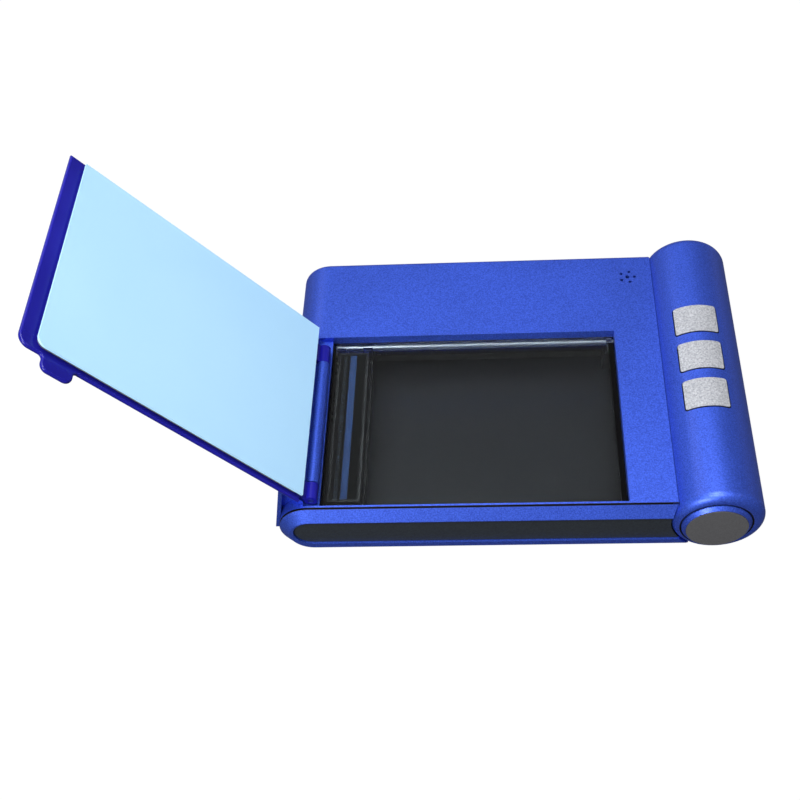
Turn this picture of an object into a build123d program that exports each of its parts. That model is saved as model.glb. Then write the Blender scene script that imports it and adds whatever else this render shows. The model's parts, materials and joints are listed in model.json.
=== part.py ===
from build123d import *
import math
import os

# Sizes in millimetres. The origin is the middle of the footprint's underside, on the desk.
# X runs to the right, Y to the back, Z up. The document window lies in the deck, the lid's
# hinge is at its left, and the round console with the buttons is at the right.

# Body
foot_height = 1.5
body_height = 30.0
wall = 2.0
body_left_centre_x = -91.6
front_y = -74.5
back_y = 76.5
back_edge_radius = 1.9
shell_seam = 0.3
reach = 400.0

floor_z = foot_height
deck_z = floor_z + body_height
end_radius = body_height / 2
split_z = floor_z + end_radius
inside_floor_z = floor_z + wall
inside_deck_z = deck_z - wall
root_z = floor_z + wall / 2

# Console at the right, a round bar along Y with rounded ends
console_x = 89.0
console_radius = 20.2
console_lift = 0.2
console_front_y = -80.2
console_back_y = 78.0
console_end_radius = 4.5
console_seam = 0.25

console_z = floor_z + console_lift + console_radius
console_bore = console_radius - wall
cap_bore = console_radius - console_end_radius
deck_end_x = console_x - math.sqrt(console_radius**2 - (deck_z - console_z) ** 2)

# End caps of the console, each with a grey disc, a little left of the console's axis
cap_offset = 1.1
cap_gap = 0.55
cap_nose_inset = 1.3
cap_front_proud = 1.8
cap_back_proud = 0.7
cap_land_share = 0.12
cap_seat = 2.1
cap_seat_gap = 0.1
cap_rim = 0.9
cap_rim_thickness = 1.4
cap_rim_fit = 0.2
cap_shell = 1.6
disc_inset = 0.4
disc_thickness = 1.0
disc_sunk = 0.8
disc_gap = 0.1

cap_x = console_x - cap_offset
cap_room = cap_bore + cap_rim + cap_rim_fit

# Recess for the document, and its glass
recess_right_x = 50.0
recess_back_y = 26.0
recess_depth = 4.2
recess_wall = 1.5
lip_thickness = 1.2
glass_left_x = -87.0
glass_thickness = 2.8
glass_gap = 0.3
ledge = 2.6
side_ledge = 0.9
ledge_thickness = 1.2
sill_rise = 1.1
sill_thickness = 1.6

glass_top_z = deck_z - recess_depth
glass_bottom_z = glass_top_z - glass_thickness
ledge_bottom_z = glass_bottom_z - ledge_thickness
lip_back_y = front_y + lip_thickness
recess_left_x = glass_left_x - glass_gap
sill_z = glass_top_z + sill_rise
recess_foot_y = recess_back_y + recess_wall

# Front bezel and the dark panel set into it
bezel_depth = 4.5
bezel_drop = 5.6
bezel_foot_rise = 4.0
bezel_right_x = 78.0
bezel_back_wall = 1.4
bezel_land = 0.35
bezel_groove_width = 0.7
bezel_groove_depth = 1.0
panel_rise = 7.2
panel_setback = 1.0
panel_gap = 0.2

bezel_front_y = front_y - bezel_depth
bezel_rim_y = front_y - bezel_groove_width
panel_back_y = front_y - bezel_back_wall
panel_top_z = deck_z - bezel_drop - bezel_land
panel_bottom_z = floor_z + panel_rise

# Hinge: one steel pin along Y, a fixed barrel between two knuckles of the lid
pin_beyond_centre = 1.1
pin_rise = 0.5
pin_radius = 1.25
pin_fit = 0.05
barrel_radius = 3.0
barrel_back_y = 8.1
barrel_front_y = -62.2
knuckle_radius = 2.9
knuckle_gap = 0.3
back_knuckle_length = 10.0
front_knuckle_length = 8.6
trough_gap = 0.6
lid_open_angle = 129.0

pin_x = body_left_centre_x + pin_beyond_centre
pin_z = deck_z + pin_rise
trough_radius = barrel_radius + trough_gap
knuckle_spans = [
    (barrel_back_y + knuckle_gap, barrel_back_y + knuckle_gap + back_knuckle_length),
    (barrel_front_y - knuckle_gap - front_knuckle_length, barrel_front_y - knuckle_gap),
]

# Hinge housing, the fixed piece on the left flank that the open lid leans on
housing_front_y = -72.0
housing_back_y = 25.0
housing_hug = 0.2
housing_wall = 1.8
housing_pocket = 3.2
housing_rib = 2.0
housing_bays = 3
housing_side_reach = 2.7
housing_tip_drop = 3.5
housing_crown_reach = 12.6
housing_slope_reach = 6.8
housing_web_reach = 3.4
housing_web_rise = 1.0
web_thickness = 1.3
stop_gap = 0.6
housing_screw_angle = 122.0
housing_boss_radius = 2.6
housing_boss_depth = 6.5

housing_side_x = body_left_centre_x - end_radius - housing_side_reach
housing_tip_z = split_z - housing_tip_drop
housing_crown_x = pin_x - housing_crown_reach
housing_slope_x = pin_x - housing_slope_reach
housing_web_x = pin_x - housing_web_reach
housing_web_z = pin_z + housing_web_rise

# Lid, given as it lies closed
lid_gap = 0.3
lid_thickness = 2.1
lid_left_x = -84.1
lid_right_x = 55.2
lid_back_y = 28.2
lid_front_y = -74.3
lid_corner_radius = 5.0
lid_edge_radius = 0.9
knuckle_web = 3.0
mat_left_x = -83.2
mat_right_x = 49.2
mat_back_y = 25.4
mat_front_y = -72.9
mat_corner_radius = 4.0
foam_thickness = 1.9
foam_inset = 0.8
board_thickness = 1.0
tab_left_x = 30.8
tab_right_x = 44.4
tab_front_y = -80.6
tab_corner_radius = 3.4
tab_root_radius = 1.6

lid_bottom_z = deck_z + lid_gap
lid_top_z = lid_bottom_z + lid_thickness
foam_bottom_z = lid_bottom_z - foam_thickness
mat_bottom_z = foam_bottom_z - board_thickness

# Three buttons in the console
button_names = ["back", "middle", "front"]
button_length = 16.2
button_pitch = 22.35
button_back_y = 22.95
button_lean = 5.1
button_half_width = 9.75
button_corner_radius = 1.0
button_edge_radius = 0.4
button_proud = 0.5
button_thickness = 2.9
button_gap = 0.45
flange_thickness = 1.1
flange_rim = 1.2
flange_gap = 0.25
stem_radius = 1.6
button_travel = 0.8

# Button board, its switches and the posts that hold it
button_board_width = 15.0
button_board_overhang = 7.0
board_sheet = 1.6
button_board_top = 8.4
switch_side = 6.0
switch_height = 3.4
plunger_radius = 1.2
plunger_proud = 1.1
plunger_sunk = 1.2
plunger_fit = 0.08
plunger_floor_gap = 0.3
button_post_radius = 2.2

switch_top = button_board_top + switch_height

# Guide shaft, its cradles and clips
shaft_y = 27.7
shaft_drop_share = 1 / 6
shaft_radius = 2.0
shaft_fit = 0.05
shaft_left_x = -92.6
shaft_right_x = 49.9
cradle_length = 4.0
cradle_half_width = 2.6
cradle_drop = 0.3
clip_thickness = 0.7
clip_width = 2.4

room_under_glass = glass_bottom_z - inside_floor_z
shaft_z = glass_bottom_z - room_under_glass * shaft_drop_share
left_cradle_x = shaft_left_x
right_cradle_x = shaft_right_x - cradle_length

# Scanning carriage and the sensor on it
carriage_left_x = -86.0
carriage_right_x = -68.4
carriage_front_y = -69.0
carriage_travel = 112.0
tray_floor = 1.2
tray_wall = 1.0
tray_height = 5.4
tray_back_y = 23.2
bush_length = 4.5
bush_half_width = 3.4
bush_rise = 1.3
bush_fit = 0.05
sensor_end_gap = 1.0
sensor_height_share = 0.4143
spring_height_share = 0.1238
sensor_gap = 0.4
sensor_side_gap = 0.3
window_inset = 1.2
window_thickness = 0.8
window_fit = 0.1
light_bar_x = -77.2
light_bar_width = 3.4
light_bar_height = 2.2
lens_bar_x = -81.0
lens_bar_width = 1.8
lens_bar_height_share = 0.57
spring_radius = 2.1
spring_wire = 0.5
spring_inset = 14.0
slider_width = 8.0
slider_length = 4.4
slider_height = 1.0
rail_y = -65.0
rail_width = 2.4
rail_gap = 0.1
rail_end_gap = 1.0

sensor_top_z = glass_bottom_z - sensor_gap
sensor_bottom_z = sensor_top_z - room_under_glass * sensor_height_share
tray_top_z = sensor_bottom_z - room_under_glass * spring_height_share
tray_z = tray_top_z - tray_floor
carriage_x = (carriage_left_x + carriage_right_x) / 2
sensor_left_x = carriage_left_x + tray_wall + sensor_side_gap
sensor_right_x = carriage_right_x - tray_wall - sensor_side_gap
sensor_front_y = carriage_front_y + tray_wall + sensor_end_gap
sensor_back_y = tray_back_y - tray_wall - sensor_end_gap
rail_top_z = tray_z - slider_height - rail_gap
lens_bar_height = (sensor_top_z - sensor_bottom_z) * lens_bar_height_share

# Belt drive behind the shaft
bracket_thickness = 1.2
belt_y = 34.9
belt_radius = 3.5
belt_sheet = 0.7
idler_x = -88.0
drive_x = 61.0
pulley_gap = 0.08
pulley_flange = 0.8
pulley_rim = 0.9
pulley_clear = 0.35
pulley_lift = 0.35
pulley_tray_gap = 0.25
pulley_hub_radius = 3.0
axle_radius = 1.0
axle_fit = 0.06
axle_head_radius = 1.9
axle_head_height = 0.8
clamp_width = 10.0
clamp_jaw = 1.2
clamp_gap = 0.2
clamp_drop = 0.4
clamp_plate = 0.5

pulley_radius = belt_radius - belt_sheet / 2 - pulley_gap
flange_radius = belt_radius + pulley_rim
pulley_bottom_z = inside_floor_z + bracket_thickness + pulley_lift
pulley_top_z = tray_z - pulley_tray_gap
belt_bottom_z = pulley_bottom_z + pulley_flange + pulley_clear
belt_top_z = pulley_top_z - pulley_flange - pulley_clear
belt_front_y = belt_y - belt_radius
clamp_front_y = belt_front_y - belt_sheet / 2 - clamp_gap - clamp_jaw
clamp_back_y = belt_front_y + belt_sheet / 2 + clamp_gap + clamp_jaw

# Belt tensioner: a bracket that slides between two ribs, pushed by a spring
bracket_nose = 3.4
bracket_length = 16.0
bracket_width = 9.0
bracket_gap = 0.1
upstand_height = 2.9
upstand_thickness = 1.2
upstand_width = 2.6
guide_height = 1.6
guide_width = 1.4
guide_length = 12.0
tension_spring_radius = 1.35
tension_spring_wire = 0.4
tension_spring_length = 9.0
anchor_length = 3.0

bracket_left_x = idler_x - bracket_nose
bracket_right_x = bracket_left_x + bracket_length
anchor_x = bracket_right_x + tension_spring_length

# Small screws
small_screw_radius = 1.0
small_screw_head = 1.9
small_screw_head_height = 1.1
small_screw_length = 5.0

# Gear pair, and the motor on its plate
gear_module = 0.5
gear_teeth = 40
pinion_teeth = 12
gear_thickness = 2.6
gear_lift = 0.6
gear_mesh_gap = 0.1
motor_bearing_angle = 150.0
tooth_root_share = 0.46
tooth_tip_share = 0.1
addendum_share = 0.85
dedendum_share = 1.25
motor_radius = 9.6
motor_top_gap = 2.5
motor_shaft_radius = 0.75
motor_shaft_depth = 5.0
motor_boss_radius = 2.6
motor_boss_height = 0.8
motor_ear_gap = 0.7
motor_ear_radius = 2.8
motor_ear_thickness = 0.8
motor_edge_radius = 0.5
motor_screw_length = 1.9
plate_thickness = 1.0
plate_margin = 3.2
plate_hole_gap = 1.4
motor_post_radius = 2.4
motor_post_places = [(40.3, 50.0), (61.5, 50.5)]

gear_radius = gear_module * gear_teeth / 2
pinion_radius = gear_module * pinion_teeth / 2
gear_bottom_z = tray_top_z + gear_lift
gear_top_z = gear_bottom_z + gear_thickness
plate_z = gear_top_z + gear_lift
motor_z = plate_z + plate_thickness
motor_top_z = inside_deck_z - motor_top_gap
motor_ear_reach = motor_radius + small_screw_head + motor_ear_gap
motor_distance = gear_radius + pinion_radius + gear_mesh_gap
motor_x = drive_x + motor_distance * math.cos(math.radians(motor_bearing_angle))
motor_y = belt_y + motor_distance * math.sin(math.radians(motor_bearing_angle))
motor_ear_places = [(motor_x - motor_ear_reach, motor_y), (motor_x + motor_ear_reach, motor_y)]

# Main board with its parts, and the USB socket in the back wall
main_board_left_x = -74.0
main_board_right_x = 36.0
main_board_back_y = 73.6
main_board_front_y = 43.4
main_board_z = 8.0
board_post_inset = 3.2
board_post_radius = 2.6
socket_x = -38.0
socket_width = 7.7
socket_height = 4.0
socket_depth = 9.2
socket_setback = 0.4
socket_wall = 0.45
socket_bore_depth = 6.5
socket_hole_gap = 0.5
socket_tongue = 1.1
socket_tongue_side_gap = 0.8
chip_height = 1.4
controller_place = (0.0, 58.0)
controller_side = 14.0
memory_place = (19.0, 58.0)
memory_length = 12.0
memory_width = 8.0
capacitor_radius = 3.1
capacitor_height = 7.5
capacitor_places = [(-24.0, 50.0), (-16.5, 50.0), (-55.0, 66.0)]
connector_length = 12.0
connector_width = 4.6
connector_height = 4.6
connector_wall = 0.8
connector_depth = 3.6
connector_places = [(-58.0, 47.5), (8.0, 47.5), (24.0, 47.5)]

board_top_z = main_board_z + board_sheet
socket_back_y = back_y - socket_setback

# Home switch, pressed when the carriage is parked
home_switch_length = 12.0
home_switch_width = 5.6
home_switch_height = 6.0
home_switch_drop = 2.1
home_switch_y = -6.0
home_switch_gap = 1.6
home_nub_radius = 0.9
home_nub_gap = 0.3
home_post_inset = 1.0

home_switch_z = tray_z - home_switch_drop

# Beeper under its grille
beeper_x = 59.0
beeper_y = 61.8
beeper_radius = 6.0
beeper_height = 6.4
beeper_fit = 0.1
beeper_ring = 1.2
beeper_ring_height = 4.6
beeper_port_radius = 1.2
beeper_port_depth = 1.5
grille_ring_radius = 3.6
grille_middle_hole_radius = 1.05
grille_ring_hole_radius = 0.8
grille_ring_holes = 5

# Fasteners and feet
case_screw_radius = 1.5
case_screw_head = 2.7
case_screw_head_height = 1.7
case_screw_length = 13.0
case_screw_sink = 3.4
case_screw_inset = 7.0
case_post_radius = 4.1
case_socket_radius = 3.2
console_screw_y = 62.0
screw_slot_share = 0.6
screw_fit = 0.1
head_fit = 0.3
foot_radius = 6.0
foot_seat = 0.6
foot_fit = 0.15
foot_half_spacing_x = 77.3
foot_half_spacing_y = 60.5

case_seat_z = floor_z + case_screw_sink
case_tip_z = case_seat_z + case_screw_length
cover_screw_places = [
    (body_left_centre_x, front_y + case_screw_inset),
    (body_left_centre_x, back_y - case_screw_inset),
    (deck_end_x - case_screw_inset, front_y + case_screw_inset),
    (main_board_right_x + case_screw_inset + wall, back_y - case_screw_inset),
]
console_screw_places = [(console_x, -console_screw_y), (console_x, console_screw_y)]
case_screw_places = cover_screw_places + console_screw_places
foot_places = [
    (x, y)
    for x in (-foot_half_spacing_x, foot_half_spacing_x)
    for y in (-foot_half_spacing_y, foot_half_spacing_y)
]
board_post_places = [
    (x, y)
    for x in (main_board_left_x + board_post_inset, main_board_right_x - board_post_inset)
    for y in (main_board_front_y + board_post_inset, main_board_back_y - board_post_inset)
]


def block(x0, x1, y0, y1, z0, z1):
    """A box between two corners."""
    middle = Pos((x0 + x1) / 2, (y0 + y1) / 2, (z0 + z1) / 2)
    return middle * Box(abs(x1 - x0), abs(y1 - y0), abs(z1 - z0))


def plate(x0, x1, y0, y1, z0, z1, radius):
    """A flat block with its four upright edges rounded."""
    return fillet(block(x0, x1, y0, y1, z0, z1).edges().filter_by(Axis.Z), radius)


def corner_plate(x0, x1, y0, y1, z0, z1, radius):
    """A flat block with only its front right upright edge rounded."""
    slab = block(x0, x1, y0, y1, z0, z1)
    corner = slab.edges().filter_by(Axis.Z).sort_by_distance((x1, y0, z1))[0]
    return fillet(corner, radius)


def rod_x(y, z, radius, x0, x1):
    """A cylinder along X."""
    return Pos((x0 + x1) / 2, y, z) * Rot(0, 90, 0) * Cylinder(radius, abs(x1 - x0))


def rod_y(x, z, radius, y0, y1):
    """A cylinder along Y."""
    return Pos(x, (y0 + y1) / 2, z) * Rot(90, 0, 0) * Cylinder(radius, abs(y1 - y0))


def rod_z(x, y, radius, z0, z1):
    """A cylinder along Z."""
    return Pos(x, y, (z0 + z1) / 2) * Cylinder(radius, abs(z1 - z0))


def front_plane(y):
    """The upright plane at y whose own x is X and whose own y is Z."""
    return Plane(origin=(0, y, 0), x_dir=(1, 0, 0), z_dir=(0, -1, 0))


def along_y(face, y0, y1):
    """A profile drawn in X and Z, made solid from y0 to y1."""
    return extrude(front_plane(y1) * face, amount=y1 - y0)


def outline(points):
    """A face bounded by straight lines through the points."""
    return make_face(Polyline(*points, close=True))


def turned_y(x, z, points):
    """A solid of revolution about an axis along Y, from points of radius and y."""
    return Pos(x, 0, z) * revolve(outline(points), Axis.Y)


def group(pieces):
    """Several separate solids kept as one node."""
    return Compound(children=[solid for piece in pieces for solid in piece.solids()])


def screw(x, y, seat_z, radius, length, head_radius, head_height, side):
    """A screw along Z: its head stands on seat_z on one side, and its shank goes the other way."""
    head = rod_z(x, y, head_radius, seat_z, seat_z + side * head_height)
    shank = rod_z(x, y, radius, seat_z, seat_z - side * length)
    middle = seat_z + side * head_height / 2
    recess = rod_z(x, y, radius * screw_slot_share, middle, seat_z + side * head_height)
    return head + shank - recess


def small_screw(x, y, seat_z, side):
    """A small screw with its head on seat_z."""
    return screw(
        x, y, seat_z, small_screw_radius, small_screw_length, small_screw_head, small_screw_head_height, side
    )


def stadium(top_z, bottom_z, right_x):
    """The body's section: a half round at the left, flat above and below, square at the right."""
    radius = (top_z - bottom_z) / 2
    middle_z = (top_z + bottom_z) / 2
    middle_x = (body_left_centre_x + right_x) / 2
    flat = Pos(middle_x, middle_z) * Rectangle(right_x - body_left_centre_x, radius * 2)
    return flat + Pos(body_left_centre_x, middle_z) * Circle(radius)


def body_solid(inset):
    """The body's outer form, or with an inset its inside, with the back edge rounded."""
    section = stadium(deck_z - inset, floor_z + inset, console_x)
    solid = along_y(section, front_y + inset, back_y - inset)
    back = solid.faces().sort_by(Axis.Y)[-1]
    return fillet(back.edges(), back_edge_radius)


def console_solid(inset):
    """The console's outer form, or with an inset its inside: a round bar with rounded ends."""
    bar = rod_y(console_x, console_z, console_radius - inset, console_front_y + inset, console_back_y - inset)
    return fillet(bar.edges().filter_by(GeomType.CIRCLE), console_end_radius - inset / 2)


def lean(shape):
    """Turns a shape built upright about the console's axis to the buttons' own direction."""
    return Pos(console_x, 0, console_z) * Rot(0, -button_lean, 0) * shape


def open_pose(shape):
    """Turns the lid from closed, as it is drawn, to the open rest."""
    return Pos(pin_x, 0, pin_z) * Rot(0, -lid_open_angle, 0) * Pos(-pin_x, 0, -pin_z) * shape


outer_body = body_solid(0)
inner_body = body_solid(wall)
outer_console = console_solid(0)
inner_console = console_solid(wall)
lower_half = block(-reach, reach, -reach, reach, -reach, split_z)
upper_half = block(-reach, reach, -reach, reach, split_z + shell_seam, reach)
console_room = rod_y(console_x, console_z, console_radius + console_seam, -reach, reach)
cap_holes = group(
    [
        rod_y(cap_x, console_z, cap_bore, -reach, console_front_y + cap_seat),
        rod_y(cap_x, console_z, cap_room, console_front_y + cap_seat, front_y),
        rod_y(cap_x, console_z, cap_room, back_y - wall, console_back_y - cap_seat),
        rod_y(cap_x, console_z, cap_bore, console_back_y - cap_seat, reach),
    ]
)


def shaft_cradle(x):
    """A post with a half round seat for the guide shaft."""
    top_z = shaft_z - cradle_drop
    post = block(
        x, x + cradle_length, shaft_y - cradle_half_width, shaft_y + cradle_half_width, root_z, top_z
    )
    return post - rod_x(shaft_y, shaft_z, shaft_radius + shaft_fit, -reach, reach)


def slider_rail():
    """The low rib that the carriage's front end slides on."""
    left = carriage_left_x - rail_end_gap
    right = carriage_right_x + carriage_travel + rail_end_gap
    return block(left, right, rail_y - rail_width / 2, rail_y + rail_width / 2, root_z, rail_top_z)


def bracket_guide(side):
    """One of the two ribs that the tensioner's bracket slides between."""
    inner_y = belt_y + side * (bracket_width / 2 + bracket_gap)
    outer_y = inner_y + side * guide_width
    return block(
        bracket_left_x, bracket_left_x + guide_length, inner_y, outer_y, root_z, inside_floor_z + guide_height
    )


def spring_anchor():
    """The block that the tensioner's spring pushes against."""
    half = upstand_width / 2
    return block(
        anchor_x, anchor_x + anchor_length, belt_y - half, belt_y + half, root_z, inside_floor_z + upstand_height
    )


def home_switch_box(inset, z0, z1):
    """The home switch's outline beside the parked carriage, or its post with an inset."""
    right = carriage_left_x - home_switch_gap
    return block(
        right - home_switch_width + inset,
        right - inset,
        home_switch_y + inset,
        home_switch_y + home_switch_length - inset,
        z0,
        z1,
    )


def base_housing():
    """The lower half of the case, with the console's lower half and all posts and cradles."""
    shell = ((outer_body + outer_console) - (inner_body + inner_console)) & lower_half
    for x, y in case_screw_places:
        shell += rod_z(x, y, case_post_radius, root_z, split_z)
    for x, y in board_post_places:
        shell += rod_z(x, y, board_post_radius, root_z, main_board_z)
    for x, y in motor_post_places:
        shell += rod_z(x, y, motor_post_radius, root_z, plate_z)
    shell += rod_z(drive_x, belt_y, motor_post_radius, root_z, pulley_bottom_z - pulley_clear)
    for piece in (shaft_cradle(left_cradle_x), shaft_cradle(right_cradle_x), slider_rail()):
        shell += piece
    for piece in (bracket_guide(-1), bracket_guide(1), spring_anchor()):
        shell += piece
    shell += home_switch_box(home_post_inset, root_z, home_switch_z)
    for x, y in foot_places:
        shell -= rod_z(x, y, foot_radius + foot_fit, floor_z, floor_z + foot_seat)
    for x, y in case_screw_places:
        shell -= rod_z(x, y, case_screw_head + head_fit, floor_z - wall, case_seat_z)
        shell -= rod_z(x, y, case_screw_radius + screw_fit, floor_z, reach)
    for x, y in board_post_places:
        shell -= rod_z(x, y, small_screw_radius + screw_fit, inside_floor_z, reach)
    for x, y in motor_post_places:
        pilot_z = motor_z - small_screw_length - screw_fit
        shell -= rod_z(x, y, small_screw_radius + screw_fit, pilot_z, reach)
    shell -= rod_z(drive_x, belt_y, axle_radius + axle_fit, inside_floor_z, reach)
    socket_hole = block(
        socket_x - socket_width / 2 - socket_hole_gap,
        socket_x + socket_width / 2 + socket_hole_gap,
        main_board_back_y,
        back_y + wall,
        board_top_z - socket_hole_gap,
        board_top_z + socket_height + socket_hole_gap,
    )
    return shell - socket_hole - cap_holes


def grille_holes():
    """One larger hole in the middle and a ring of holes round it, each as x, y and radius."""
    turn = math.tau / grille_ring_holes
    ring = [
        (
            beeper_x + grille_ring_radius * math.cos(turn * i),
            beeper_y + grille_ring_radius * math.sin(turn * i),
            grille_ring_hole_radius,
        )
        for i in range(grille_ring_holes)
    ]
    return [(beeper_x, beeper_y, grille_middle_hole_radius)] + ring


def recess_walls():
    """The trough, sill, walls and ledges that hang from the deck round the glass."""
    walls = rod_y(pin_x, pin_z, trough_radius + recess_wall, front_y, recess_foot_y)
    walls += block(pin_x, recess_left_x, front_y, recess_foot_y, sill_z - sill_thickness, sill_z)
    ledge_x = glass_left_x + side_ledge
    walls += block(recess_left_x - recess_wall, ledge_x, front_y, recess_foot_y, ledge_bottom_z, sill_z)
    right_x = recess_right_x + recess_wall
    walls += block(recess_right_x, right_x, front_y, recess_back_y, ledge_bottom_z, deck_z)
    ledge_end_y = recess_back_y - ledge
    walls += block(recess_right_x - ledge, right_x, front_y, ledge_end_y, ledge_bottom_z, deck_z)
    walls += block(
        recess_left_x, recess_right_x, front_y, lip_back_y + ledge, ledge_bottom_z, glass_bottom_z
    )
    return walls + block(
        recess_left_x - recess_wall, right_x, recess_back_y, recess_foot_y, glass_bottom_z, deck_z
    )


def top_cover():
    """The upper half of the case: the deck with the document recess, trough, sill and grille."""
    walls = recess_walls()
    for x, y in cover_screw_places:
        walls += rod_z(x, y, case_socket_radius, split_z + shell_seam, deck_z)
    ring_bottom_z = inside_deck_z - beeper_ring_height
    walls += rod_z(beeper_x, beeper_y, beeper_radius + beeper_fit + beeper_ring, ring_bottom_z, deck_z)
    cover = ((outer_body & upper_half) - inner_body) + (walls & outer_body)
    cover -= rod_z(beeper_x, beeper_y, beeper_radius + beeper_fit, ring_bottom_z, inside_deck_z)
    cover -= rod_y(pin_x, pin_z, trough_radius, lip_back_y, recess_back_y)
    cover -= block(pin_x, recess_left_x, lip_back_y, recess_back_y, sill_z, reach)
    cover -= block(recess_left_x, recess_right_x, lip_back_y, recess_back_y, glass_bottom_z, reach)
    for x, y in cover_screw_places:
        cover -= rod_z(x, y, case_screw_radius + screw_fit, split_z, case_tip_z + head_fit)
    for x, y, radius in grille_holes():
        cover -= rod_z(x, y, radius, inside_deck_z, reach)
    for y in housing_screw_ys():
        cover -= beside_body(y, rod_z(0, 0, small_screw_radius + screw_fit, 0, end_radius + wall))
        cover -= beside_body(y, rod_z(0, 0, small_screw_head + head_fit, 0, end_radius - wall))
    return cover - console_room


def button_y(index):
    """The middle of a button along Y."""
    return button_back_y - index * button_pitch


def board_end_ys():
    """The two ends of the button board."""
    back = button_y(0) + button_length / 2 + button_board_overhang
    front = button_y(len(button_names) - 1) - button_length / 2 - button_board_overhang
    return front, back


def button_post_ys():
    """The two posts stand near the ends of the button board."""
    front, back = board_end_ys()
    inset = button_post_radius + flange_gap
    return [front + inset, back - inset]


def button_block(index, gap, top):
    """An upright block of a button's outline, grown by a gap."""
    half_width = button_half_width + gap
    half_length = button_length / 2 + gap
    y = button_y(index)
    radius = button_corner_radius + gap
    return plate(-half_width, half_width, y - half_length, y + half_length, switch_top, top, radius)


def console_cover():
    """The upper half of the console, with the windows for the buttons and two posts for their board."""
    cover = (outer_console - inner_console) & upper_half
    for y in button_post_ys():
        cover += lean(rod_z(0, y, button_post_radius, button_board_top, console_bore + wall / 2))
    for x, y in console_screw_places:
        socket = rod_z(x, y, case_socket_radius, split_z + shell_seam, console_z + console_radius)
        cover += socket & outer_console
        cover -= rod_z(x, y, case_screw_radius + screw_fit, split_z, case_tip_z + head_fit)
    for index in range(len(button_names)):
        cover -= lean(button_block(index, button_gap, reach))
    pilot_top = button_board_top - board_sheet + small_screw_length + screw_fit
    for y in button_post_ys():
        cover -= lean(rod_z(0, y, small_screw_radius + screw_fit, 0, pilot_top))
    return cover - cap_holes


def shell_piece(outer, thickness, half_width, half_length, y):
    """A piece of round shell about the console's axis, within a width and a length."""
    ring = rod_y(0, 0, outer, y - half_length, y + half_length)
    ring -= rod_y(0, 0, outer - thickness, y - half_length, y + half_length)
    return ring & block(-half_width, half_width, y - half_length, y + half_length, 0, outer)


def button(index):
    """A push button: a curved cap proud of the console, a flange inside it and a stem to the switch."""
    y = button_y(index)
    outer = console_radius + button_proud
    cap = shell_piece(outer, button_thickness, button_half_width, button_length / 2, y)
    cap &= button_block(index, 0, outer)
    top = cap.faces().filter_by(GeomType.CYLINDER).sort_by(SortBy.AREA)[-1]
    cap = fillet(top.edges(), button_edge_radius)
    flange_top = console_bore - flange_gap
    half_width = button_half_width + flange_rim
    half_length = button_length / 2 + flange_rim
    skirt = shell_piece(flange_top, flange_thickness, half_width, half_length, y)
    stem = rod_z(0, y, stem_radius, switch_top + plunger_proud, flange_top - flange_thickness / 2)
    return lean(cap + skirt + stem)


def switch_body(index):
    """The square body of a button's switch, with the plunger's bore."""
    y = button_y(index)
    half = switch_side / 2
    bore_bottom = switch_top - plunger_sunk - button_travel - plunger_floor_gap
    body = block(-half, half, y - half, y + half, button_board_top, switch_top)
    return lean(body - rod_z(0, y, plunger_radius + plunger_fit, bore_bottom, switch_top))


def switch_plunger(index):
    """The plunger that the button's stem stands on."""
    y = button_y(index)
    return lean(rod_z(0, y, plunger_radius, switch_top - plunger_sunk, switch_top + plunger_proud))


def button_board():
    """The long circuit board under the buttons."""
    front, back = board_end_ys()
    half = button_board_width / 2
    board = block(-half, half, front, back, button_board_top - board_sheet, button_board_top)
    for y in button_post_ys():
        board -= rod_z(0, y, small_screw_radius + screw_fit, 0, button_board_top)
    return lean(board)


def button_board_screws():
    """Two screws from below, through the button board into the posts."""
    under = button_board_top - board_sheet
    return group([lean(small_screw(0, y, under, -1)) for y in button_post_ys()])


def console_cap(end_y, side, proud):
    """An end cap: a rim inside the shell, a plug in the hole and a chamfered nose, hollow behind."""
    radius = cap_bore - cap_gap
    seat_y = end_y - side * (cap_seat + cap_seat_gap)
    face_y = end_y + side * proud
    tail_y = seat_y - side * cap_rim_thickness
    hollow_y = face_y - side * cap_shell * 2
    points = [
        (0, face_y),
        (radius - cap_nose_inset, face_y),
        (radius, end_y + side * proud * cap_land_share),
        (radius, seat_y),
        (cap_bore + cap_rim, seat_y),
        (cap_bore + cap_rim, tail_y),
        (radius - cap_shell, tail_y),
        (radius - cap_shell, hollow_y),
        (0, hollow_y),
    ]
    cap = turned_y(cap_x, console_z, points)
    disc_radius = radius - cap_nose_inset - disc_inset + disc_gap
    return cap - rod_y(cap_x, console_z, disc_radius, face_y - side * disc_sunk, face_y + side * wall)


def cap_disc(end_y, side, proud):
    """The grey disc let into an end cap."""
    radius = cap_bore - cap_gap - cap_nose_inset - disc_inset
    seat_y = end_y + side * (proud - disc_sunk)
    return rod_y(cap_x, console_z, radius, seat_y, seat_y + side * disc_thickness)


def front_bezel():
    """The bevelled rim in front of the case, on a smaller foot that leaves a groove behind the rim."""
    back = front_plane(bezel_rim_y) * stadium(deck_z, floor_z, bezel_right_x)
    front = front_plane(bezel_front_y) * stadium(
        deck_z - bezel_drop, floor_z + bezel_foot_rise, bezel_right_x
    )
    rim = loft([back, front], ruled=True)
    foot = stadium(deck_z - bezel_groove_depth, floor_z + bezel_groove_depth, bezel_right_x)
    rim += along_y(foot, bezel_rim_y, front_y)
    pocket = along_y(stadium(panel_top_z, panel_bottom_z, console_x), bezel_front_y - wall, panel_back_y)
    return rim - pocket - console_room


def front_panel():
    """The dark panel set into the bezel."""
    section = stadium(panel_top_z - panel_gap, panel_bottom_z + panel_gap, console_x)
    return along_y(section, bezel_front_y + panel_setback, panel_back_y) - console_room


def window_glass():
    """The document window, lying on the ledges."""
    return block(
        glass_left_x,
        recess_right_x - glass_gap,
        lip_back_y + glass_gap,
        recess_back_y - glass_gap,
        glass_bottom_z,
        glass_top_z,
    )


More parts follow.
